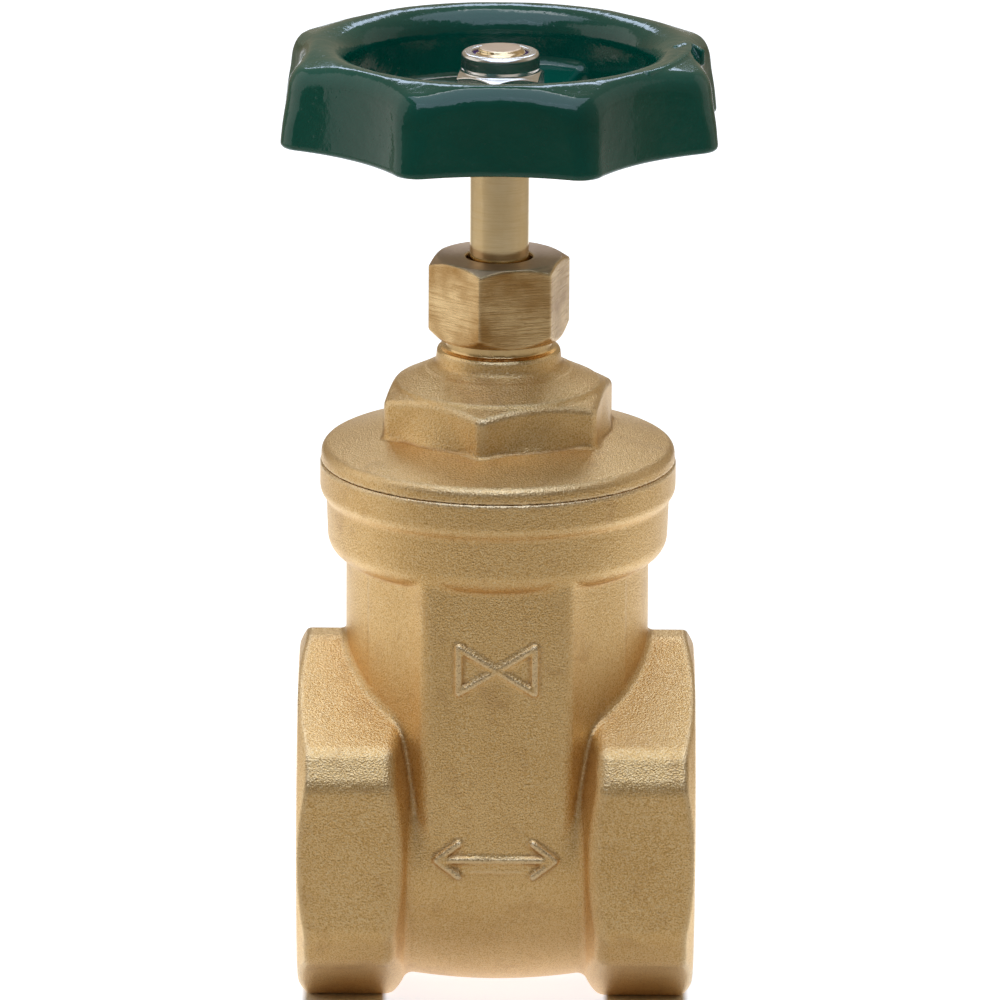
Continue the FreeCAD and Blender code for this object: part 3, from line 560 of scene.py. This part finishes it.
ring_shape = turned((
    (0, 40.0, 0), (NECK_RADIUS - 1, 40.0, 0), (NECK_RADIUS - 0.2, 43.4, 0),
    (RING_RADIUS - 0.3, 44.4, 3.6), (RING_RADIUS, RING_STEP - 0.4, 0.8),
    (RING_UPPER_RADIUS, RING_STEP + 0.9, 2.4), (RING_UPPER_RADIUS, RING_TOP, 0.1),
    (0, RING_TOP, 0),
))


def neck_panels(x, y, z):
    """Flat front and back panels, whose sides slope out to the neck."""
    ax = np.abs(x)
    ay = np.abs(y)
    side = (ax - PANEL_HALF_WIDTH) + (ay - PANEL_REACH) * PANEL_SIDE
    side = side / math.hypot(1, PANEL_SIDE)
    field = meet(ay - PANEL_REACH, side, 1.3)
    field = np.maximum(field, PANEL_ROOT - ay)
    return np.maximum(field, np.maximum(-BARREL_DROP - z, z - 47.0))


def raised_marks(x, z):
    """Valve sign above and flow arrow below, in the plane of the panel."""
    sign_z = z - SIGN_LEVEL
    corners = ((-SIGN_HALF_LENGTH, -SIGN_HALF_HEIGHT), (-SIGN_HALF_LENGTH, SIGN_HALF_HEIGHT),
               (SIGN_HALF_LENGTH, -SIGN_HALF_HEIGHT), (SIGN_HALF_LENGTH, SIGN_HALF_HEIGHT))
    sign = stroke(x, sign_z, corners[-1], corners[0], MARK_HALF_WIDTH)
    for start, end in zip(corners, corners[1:]):
        sign = np.minimum(sign, stroke(x, sign_z, start, end, MARK_HALF_WIDTH))
    arrow_z = z - ARROW_LEVEL
    arrow = stroke(x, arrow_z, (-9.0, 0), (9.0, 0), MARK_HALF_WIDTH)
    for side in (-1, 1):
        for half in (-1, 1):
            tip, barb = (side * 9.4, 0), (side * 5.9, half * 2.7)
            arrow = np.minimum(arrow, stroke(x, arrow_z, tip, barb, MARK_HALF_WIDTH))
    return np.minimum(sign, arrow)


def body_outside(x, y, z):
    """Forged outside: barrel, neck, panels with their marks, collars and top ring."""
    rho = np.hypot(x, y)
    low = np.clip((-BARREL_DROP - z) / BARREL_RADIUS, 0, 1)
    crown = 1.1 * low * (x / 13.3) ** 2
    barrel = np.hypot(y, z + BARREL_DROP) - BARREL_RADIUS + crown
    barrel = np.maximum(barrel, np.abs(x) - 20)
    neck = np.maximum(rho - NECK_RADIUS, np.maximum(-BARREL_DROP - z, z - 48))
    field = join(neck, neck_panels(x, y, z), 1.6)
    field = join(field, barrel, 0.02 + 1.2 * np.clip((np.abs(x) - 9.0) / 5.0, 0, 1))
    marks = meet(raised_marks(x, z), np.abs(y) - PANEL_REACH - MARK_HEIGHT, 0.45)
    marks = np.maximum(marks, y)
    field = join(field, np.maximum(marks, PANEL_REACH - 1.5 - np.abs(y)), 0.3)
    field = join(field, pipe_collar(x, y, z), 1.1)
    return join(field, ring_shape(x, y, z), 0.5)


def body_hollow(x, y, z):
    """Threaded ports, seats, wedge chamber, neck bore and the bonnet's seat."""
    ax = np.abs(x)
    around = np.hypot(y, z)
    angle = np.arctan2(z, y) * np.sign(x)
    wall = thread_radius(ax, angle, THREAD_MAJOR - THREAD_DEPTH / 2, THREAD_DEPTH, THREAD_PITCH)
    fade = np.clip((ax - PORT_FLOOR - 1.5) / 1.5, 0, 1)
    wall = wall * fade + THREAD_MAJOR * (1 - fade)
    port = np.maximum((around - wall) * 0.55, PORT_FLOOR - ax)
    mouth = (around - PORT_MOUTH - (ax - END_REACH)) / math.sqrt(2)
    port = np.minimum(port, np.maximum(mouth, END_REACH - 3 - ax))
    seat = np.maximum(around - SEAT_BORE, ax - PORT_FLOOR - 1)
    chamber = np.maximum(ax - 8.6 - SEAT_SLOPE * z, np.abs(y) - CHAMBER_RADIUS)
    below = np.hypot(y, z + BARREL_DROP) - CHAMBER_RADIUS
    low_end = np.where(z < -BARREL_DROP, below, -1e3)
    chamber = np.maximum(np.maximum(chamber, low_end), z - 28)
    rho = np.hypot(x, y)
    neck = np.maximum(rho - NECK_BORE, 26.5 - z)
    top = np.maximum(rho - TOP_BORE, 46.0 - z)
    recess = np.maximum(rho - 26.7, 58.3 - z)
    field = np.minimum(np.minimum(port, seat), chamber)
    return np.minimum(field, np.minimum(neck, np.minimum(top, recess)))


def body_field(x, y, z):
    """Body with the two ribs that guide the wedge."""
    field = cut(body_outside(x, y, z), body_hollow(x, y, z), 0.25)
    ay = np.abs(y)
    ribs = np.maximum(np.abs(x) - RIB_HALF_WIDTH, np.maximum(RIB_REACH - ay, ay - 23.0))
    ribs = np.maximum(ribs, np.maximum(-10.0 - z, z - 45.5))
    return np.minimum(field, ribs)


def body_machined(x, y, z):
    """1 on the bores, threads, end faces and top joint, 0 on the forged skin."""
    hollow = np.abs(body_hollow(x, y, z)) < 0.2
    end = np.abs(x) > END_REACH - 0.15
    top = (z > RING_TOP - 0.15) & (np.hypot(x, y) < 27.8)
    return np.where(hollow | end | top, 1.0, 0.0)


body = solid(
    "body_piece", body_field, (-33.0, -28.5, -31.5), (33.0, 28.5, RING_TOP + 1.2), 0.42,
    marks={"machined": body_machined},
)
finish_piece(body, "valve_body", "forged_brass", FORGED, "body")

# ---------------------------------------------------------------- bonnet

JOINT = RING_TOP + 0.04
BONNET_TURN = 22.0
BONNET_HALF = 17.0

bonnet_turning = turned((
    (0, 46.0, 0), (23.9, 46.0, 0), (23.9, JOINT, 0), (28.1, JOINT, 0.08),
    (28.05, 61.3, 1.5), (18.0, 64.4, 0), (16.0, 71.75, 0), (12.7, 73.3, 2.0),
    (10.0, 75.0, 1.2), (9.75, 77.5, 0.6), (8.47, 77.3, 0.35), (8.47, 87.5, 0.3), (0, 87.5, 0),
))
bonnet_bore = turned((
    (0, 45.0, 0), (21.57, 45.0, 0), (21.57, 57.0, 0), (9.6, 62.0, 0), (9.6, 69.3, 0),
    (9.0, 69.3, 0), (9.0, 73.3, 0), (7.9, 73.3, 0), (7.9, 76.7, 0), (4.76, 76.7, 0),
    (4.76, 79.2, 0), (6.6, 79.2, 0), (6.6, 89.0, 0), (0, 89.0, 0),
))


def bonnet_outside(x, y, z):
    """Flange, shoulder and threaded neck, with a hexagon for the spanner."""
    rho = np.hypot(x, y)
    hexagon = prism(x, y, BONNET_HALF, 30 + BONNET_TURN, rounding=0.9)
    hexagon = meet(hexagon, slope(rho, z, (19.6, 70.0), -0.465), 0.7)
    hexagon = np.maximum(hexagon, np.maximum(62.0 - z, 12.0 - rho))
    return join(bonnet_turning(x, y, z), hexagon, 0.7)


def bonnet_field(x, y, z):
    return cut(bonnet_outside(x, y, z), bonnet_bore(x, y, z), 0.2)


def bonnet_machined(x, y, z):
    """1 on the threaded neck, the bore and the skirt, 0 on the forged skin."""
    neck = z > 76.9
    hollow = np.abs(bonnet_bore(x, y, z)) < 0.15
    skirt = (z < JOINT + 0.1) & (np.hypot(x, y) < 27.7)
    return np.where(neck | hollow | skirt, 1.0, 0.0)


bonnet = solid(
    "bonnet_piece", bonnet_field, (-29.5, -29.5, 45.0), (29.5, 29.5, 88.7), 0.34,
    marks={"machined": bonnet_machined},
)
finish_piece(bonnet, "valve_body", "forged_brass", FORGED, "bonnet")

# ---------------------------------------------------------------- packing nut

NUT_TURN = 14.8
NUT_HALF = 10.05
nut_turning = turned((
    (8.52, 79.2, 0), (9.9, 79.2, 0.3), (11.75, 81.05, 0.3), (11.75, 91.1, 0.3),
    (9.9, 92.2, 0.25), (5.3, 92.2, 0.35), (5.3, 89.7, 0), (8.52, 89.7, 0),
), spacing=0.04)


def packing_nut_field(x, y, z):
    flats = prism(x, y, NUT_HALF, 30 + NUT_TURN, rounding=0.25)
    return meet(nut_turning(x, y, z), flats, 0.25)


packing_nut = solid("packing_nut_piece", packing_nut_field, (-12.5, -12.5, 78.6),
                    (12.5, 12.5, 92.9), 0.16)
finish_piece(packing_nut, "valve_body", "machined_brass", CUT_BRASS, "packing_nut")

# ---------------------------------------------------------------- stem

STEM_TOP = node_level("stem", 1)
STEM_BOTTOM = node_level("stem", 0)
STEM_RADIUS = 4.68
STEM_FLAT_HALF = 4.0
SCREW_TOP = 70.0
SCREW_PITCH = 3.0
TOP_THREAD_START = 116.0
TOP_THREAD_PITCH = 1.25
stem_turning = turned((
    (0, STEM_BOTTOM, 0), (4.9, STEM_BOTTOM, 0.2), (6.0, STEM_BOTTOM + 1.2, 0.2),
    (6.0, 74.1, 0), (7.6, 74.1, 0.2), (7.6, 75.9, 0.2), (STEM_RADIUS, 75.9, 0),
    (STEM_RADIUS, 77.1, 0.1), (3.2, 77.1, 0), (3.2, 78.7, 0), (STEM_RADIUS, 78.7, 0.1),
    (STEM_RADIUS, 115.7, 0.2), (4.0, 115.7, 0),
    (4.0, STEM_TOP - 0.75, 0.15), (3.25, STEM_TOP, 0.15), (0, STEM_TOP, 0),
), spacing=0.05)


def stem_field(x, y, z):
    """Stem with its left-hand screw, the thread for the wheel nut and the wheel's square."""
    field = stem_turning(x, y, z)
    rho = np.hypot(x, y)
    angle = np.arctan2(y, x)
    screw = thread_radius(z, angle, 5.2, 1.6, SCREW_PITCH, hand=-1, sharp=2.5)
    fade = np.clip((SCREW_TOP - z) / 2.0, 0, 1)
    screw = (rho - screw * fade - 6.1 * (1 - fade)) * 0.6
    field = np.maximum(field, np.where(z < SCREW_TOP, screw, -9.0))
    fine = (rho - thread_radius(z, angle, 3.72, 0.6, TOP_THREAD_PITCH)) * 0.6
    field = np.maximum(field, np.where(z > TOP_THREAD_START, fine, -9.0))
    flats = prism(x, y, STEM_FLAT_HALF, -1.0, sides=4, rounding=0.1)
    return np.where(z > 108.6, np.maximum(field, flats), field)


stem = solid("stem_piece", stem_field, (-8.4, -8.4, STEM_BOTTOM - 0.8),
             (8.4, 8.4, STEM_TOP + 0.8), 0.24)
finish_piece(stem, "stem", "polished_brass", POLISHED, "stem")

# ---------------------------------------------------------------- wedge

WEDGE_HALF = 8.5
WEDGE_RADIUS = 19.4
WEDGE_NUT_BORE = 6.06
WEDGE_CLEAR_BORE = 6.5


def wedge_field(x, y, z):
    """Solid wedge with a boss for the stem and a slot each side for the guide ribs."""
    ax = np.abs(x)
    ay = np.abs(y)
    face = (ax - WEDGE_HALF - SEAT_SLOPE * z) / math.hypot(1, SEAT_SLOPE)
    faces = meet(face, np.hypot(y, z) - WEDGE_RADIUS, 0.5)
    web = meet(ax - 3.2, meet(ay - 19.9, between(z, -4.0, 12.0), 1.0), 0.6)
    rho = np.hypot(x, y)
    boss = meet(rho - 8.8, between(z, 0.0, 31.0), 0.6)
    field = join(join(faces, web, 1.5), boss, 1.5)
    slot = np.maximum(ax - 2.3, 18.6 - ay)
    nut_bore = np.maximum(rho - WEDGE_NUT_BORE, 17.0 - z)
    clear_bore = np.maximum(rho - WEDGE_CLEAR_BORE, between(z, -16.0, 17.0))
    return cut(cut(field, slot, 0.3), np.minimum(nut_bore, clear_bore), 0.3)


def wedge_machined(x, y, z):
    """1 on the two sealing faces."""
    face = np.abs(np.abs(x) - WEDGE_HALF - SEAT_SLOPE * z) < 0.12
    return np.where(face, 1.0, 0.0)


wedge = solid("wedge_piece", wedge_field, (-10.8, -20.8, -20.4), (10.8, 20.8, 31.9), 0.36,
              marks={"machined": wedge_machined})
finish_piece(wedge, "wedge", "machined_brass", FORGED, "wedge")

# ---------------------------------------------------------------- handwheel

RIM_BOTTOM = 112.7
RIM_TOP = 126.5
FACET_REACH = 32.2
FACET_RADIUS = 34.0
FACET_DRAFT = 0.085
LOBE_ROUNDING = 3.9
WHEEL_TURN = -0.5
RIM_WALL = 2.6
SPOKE_ANGLE = 67.5
SPOKE_RISE = 0.2
SPOKE_HALF_DEPTH = 2.2
HUB_RADIUS = 9.5
SQUARE_HALF = 4.05
ARROW_RADIUS = 29.6
ARROW_ANGLE = -18
ARROW_HEIGHT = 0.2

rim_outside = turned((
    (24.0, 115.5, 0.8), (26.5, 115.5, 0.5), (26.5, RIM_BOTTOM, 0), (37.6, RIM_BOTTOM, 0.9),
    (36.1, 124.6, 4.5), (29.2, RIM_TOP + 0.1, 6.0), (24.0, RIM_TOP - 0.2, 4.2),
))
rim_inside = turned((
    (26.5, 110.0, 0), (38.0, 110.0, 0), (33.6, 121.0, 3.0), (28.8, RIM_TOP - RIM_WALL, 1.5),
    (26.5, 121.0, 1.0),
))


def facets(x, y, reach, rounding):
    """Outside of the eight concave facets."""
    field = None
    for number in range(8):
        angle = math.radians(45 * number + WHEEL_TURN)
        away = reach + FACET_RADIUS
        gap = np.hypot(x - away * math.cos(angle), y - away * math.sin(angle))
        flat = FACET_RADIUS - gap
        field = flat if field is None else meet(field, flat, rounding)
    return field


def spokes(x, y, z):
    """Four tapering spokes that rise to the rim."""
    field = None
    for number in range(4):
        angle = math.radians(SPOKE_ANGLE + 90 * number)
        out = x * math.cos(angle) + y * math.sin(angle)
        across = np.abs(y * math.cos(angle) - x * math.sin(angle))
        middle = 112.6 + SPOKE_RISE * (out - 8.0)
        side = across - 4.5 + 0.03 * (20 - out)
        bar = meet(side, np.abs(z - middle) - SPOKE_HALF_DEPTH, 1.0)
        bar = np.maximum(bar, np.maximum(4.0 - out, out - 26.0))
        field = bar if field is None else np.minimum(field, bar)
    return field


def rim_arrow(x, y, z):
    """Raised curved arrow on the crown that shows the way to open."""
    angle = np.degrees(np.arctan2(y, x))
    along = np.radians(angle - ARROW_ANGLE) * ARROW_RADIUS
    across = np.hypot(x, y) - ARROW_RADIUS
    mark = stroke(along, across, (-11.0, 0), (11.0, 0), 0.5)
    for side in (-1, 1):
        mark = np.minimum(mark, stroke(along, across, (11.2, 0), (8.3, side * 2.0), 0.5))
    return mark


def wheel_field(x, y, z):
    """Hollow rim with concave facets, spokes and a hub with a square hole."""
    drafted = FACET_REACH - FACET_DRAFT * (z - RIM_BOTTOM)
    soft = 0.8 + 1.4 * np.clip((z - 115.0) / 5.0, 0, 1)
    rim = meet(rim_outside(x, y, z), facets(x, y, drafted, LOBE_ROUNDING), soft)
    hollow = np.maximum(rim_inside(x, y, z), facets(x, y, drafted - RIM_WALL, 1.5))
    rim = cut(rim, hollow, 0.6)
    rho = np.hypot(x, y)
    hub = meet(rho - HUB_RADIUS, between(z, 108.6, 115.9), 0.8)
    field = join(join(rim, spokes(x, y, z), 1.4), hub, 1.5)
    lifted = np.maximum(rim_outside(x, y, z) - ARROW_HEIGHT, rim_arrow(x, y, z))
    lifted = np.maximum(lifted, RIM_TOP - 3.0 - z)
    field = join(field, lifted, 0.25)
    hole = np.maximum(prism(x, y, SQUARE_HALF, WHEEL_TURN, sides=4), rho - 4.73)
    return cut(field, hole, 0.2)


wheel = solid("handwheel_piece", wheel_field, (-38.2, -38.2, 107.8),
              (38.2, 38.2, RIM_TOP + 1.2), 0.36)
finish_piece(wheel, "stem", "green_enamel", ENAMEL, "handwheel")

# ---------------------------------------------------------------- wheel nut, insert and washer

WHEEL_NUT_TURN = 22.0
NUT_BOTTOM = node_level("wheel_nut", 0)
NUT_TOP = node_level("wheel_nut", 1)
WHEEL_NUT_HALF = 6.5
wheel_nut_turning = turned((
    (4.02, NUT_BOTTOM, 0), (6.7, NUT_BOTTOM, 0.1), (7.5, NUT_BOTTOM + 0.5, 0.1),
    (7.5, 121.4, 0.3), (6.0, 122.3, 0.4), (6.25, 122.9, 0.4), (6.14, NUT_TOP, 0.7),
    (4.4, NUT_TOP, 0.3), (4.4, 124.75, 0), (5.25, 124.75, 0), (5.25, 122.4, 0), (4.02, 122.4, 0),
), spacing=0.03)


def wheel_nut_field(x, y, z):
    flats = prism(x, y, WHEEL_NUT_HALF, 30 + WHEEL_NUT_TURN, rounding=0.15)
    return meet(wheel_nut_turning(x, y, z), flats, 0.15)


wheel_nut = solid("wheel_nut_piece", wheel_nut_field, (-8.0, -8.0, NUT_BOTTOM - 0.5),
                  (8.0, 8.0, NUT_TOP + 0.5), 0.12)
finish_piece(wheel_nut, "stem", "bright_steel", STEEL, "wheel_nut")

insert = lathe("wheel_nut_insert_piece", (
    (4.02, 122.4, 0.1), (5.25, 122.4, 0.1), (5.25, 124.75, 0.1), (4.4, 124.75, 0.1),
    (4.02, 124.5, 0.15),
))
finish_piece(insert, "stem", "blue_nylon", NYLON, "wheel_nut_insert")

washer = lathe("wheel_washer_piece", (
    (4.2, 115.9, 0.1), (8.0, 115.9, 0.15), (8.0, NUT_BOTTOM, 0.3), (4.2, NUT_BOTTOM, 0.1),
))
finish_piece(washer, "stem", "bright_steel", STEEL, "wheel_washer")

# ---------------------------------------------------------------- pieces kept from the CAD

KEPT = {
    "bonnet_gasket": FIBRE, "stem_lock_nut": CUT_BRASS, "lower_thrust_washer": PTFE,
    "upper_thrust_washer": PTFE, "packing_washer": CUT_BRASS, "packing_ring_lower": PTFE,
    "packing_ring_middle": PTFE, "packing_ring_upper": PTFE, "gland_follower": CUT_BRASS,
    "stem_o_ring": RUBBER,
}
for node, material in KEPT.items():
    mesh = frame["nodes"][node].data
    mesh.materials.clear()
    mesh.materials.append(material)

# ---------------------------------------------------------------- floor, light and camera

WHITE = (1.0, 1.0, 1.0)
COOL = (0.84, 1.0, 1.30)
WARM = (1.0, 0.84, 0.60)
COLLAR_MIDDLE = 0.0242


def softbox(name, place, target, size, radiance, colour):
    """Rectangular lamp whose face shines at a given radiance."""
    light = bpy.data.lights.new(name, "AREA")
    light.shape = "RECTANGLE"
    light.color = colour
    light.size, light.size_y = size
    light.energy = radiance * math.pi * size[0] * size[1]
    lamp = bpy.data.objects.new(name, light)
    lamp.visible_camera = False
    lamp.location = place
    way = Vector(target) - Vector(place)
    lamp.rotation_euler = way.to_track_quat("-Z", "Y").to_euler()
    bpy.context.scene.collection.objects.link(lamp)


def studio():
    """Pale floor that glows around and behind the valve and carries painted shade far in front,
    warm dim surroundings, broad lamps.
    """
    bpy.ops.mesh.primitive_plane_add(size=12)
    floor = bpy.context.object
    floor.name = "floor"
    n = Nodes("pale_floor")
    split = n.add("ShaderNodeSeparateXYZ")
    n.link(n.place, split.inputs[0])
    ahead = split.outputs["Y"]
    aside = n.math("ABSOLUTE", split.outputs["X"])
    glow = n.math("MULTIPLY", n.ramp(ahead, -0.026, -0.0065), n.ramp(ahead, 0.1, 1.0, 0.78, 1.3))
    glow = n.math("MULTIPLY", glow, n.ramp(aside, 0.13, 0.30, 1.0, 0.0))
    # No glow where the two collars stand.
    beside = n.ramp(n.math("ABSOLUTE", n.math("SUBTRACT", aside, COLLAR_MIDDLE)), 0.0060, 0.0069)
    before = n.ramp(n.math("ABSOLUTE", ahead), 0.012, 0.020)
    glow = n.math("MULTIPLY", glow, n.math("MAXIMUM", beside, before))
    # Painted shade: the floor's own colour darkens far in front of the valve.
    pale = n.mix(n.ramp(ahead, -0.70, -0.16), (0.50, 0.46, 0.38), (0.80, 0.73, 0.60))
    floor.data.materials.append(n.surface(
        Base_Color=pale, Roughness=0.8, Emission_Color=(0.80, 0.88, 1.0), Emission_Strength=glow,
    ))
    world = bpy.data.worlds.new("studio")
    world.use_nodes = True
    tree = world.node_tree
    tree.nodes["Background"].inputs["Color"].default_value = (*WARM, 1)
    place = tree.nodes.new("ShaderNodeTexCoord")
    split = tree.nodes.new("ShaderNodeSeparateXYZ")
    tree.links.new(place.outputs["Generated"], split.inputs[0])
    depth = tree.nodes.new("ShaderNodeMapRange")
    tree.links.new(split.outputs["Y"], depth.inputs[0])
    for socket, number in zip(depth.inputs[1:5], (-0.9, 0.3, 0.12, 0.36)):
        socket.default_value = number
    tree.links.new(depth.outputs["Result"], tree.nodes["Background"].inputs["Strength"])
    bpy.context.scene.world = world
    softbox("top_box", (0.0, -0.14, 0.80), (0, -0.10, 0.1), (0.8, 0.78), 1.4, COOL)
    softbox("front_box", (-0.05, -0.62, 0.72), (0, 0, 0.1), (0.75, 0.24), 1.5, COOL)
    softbox("top_strip", (-0.05, 0.16, 0.70), (0, 0, 0.15), (0.30, 0.07), 3.0, WHITE)
    softbox("back_strip", (0.0, 0.55, 0.52), (0, 0, 0.15), (0.40, 0.12), 3.6, COOL)
    softbox("left_box", (-0.42, 0.04, 0.26), (0, 0, 0.08), (0.46, 0.50), 0.60, WHITE)
    softbox("right_box", (0.42, 0.14, 0.24), (0, 0, 0.08), (0.30, 0.46), 0.21, WHITE)


def camera():
    """Long lens, a little above the valve, tilted a touch as in the reference view."""
    distance, elevation, roll = 1.6, math.radians(15.75), math.radians(0.35)
    view_widths_per_metre = 6.285
    target = Vector((0.00035, 0, (52 + PIPE_HEIGHT) * MM))
    back = Vector((0, -math.cos(elevation), math.sin(elevation)))
    data = bpy.data.cameras.new("camera")
    data.sensor_width = 36
    data.lens = data.sensor_width * view_widths_per_metre * distance
    data.clip_end = 50
    eye = bpy.data.objects.new("camera", data)
    turn = (-back).to_track_quat("-Z", "Y").to_matrix() @ Matrix.Rotation(roll, 3, "Z")
    eye.matrix_world = Matrix.Translation(target + back * distance) @ turn.to_4x4()
    bpy.context.scene.collection.objects.link(eye)
    bpy.context.scene.camera = eye


studio()
camera()
bpy.context.scene.view_settings.view_transform = "Standard"
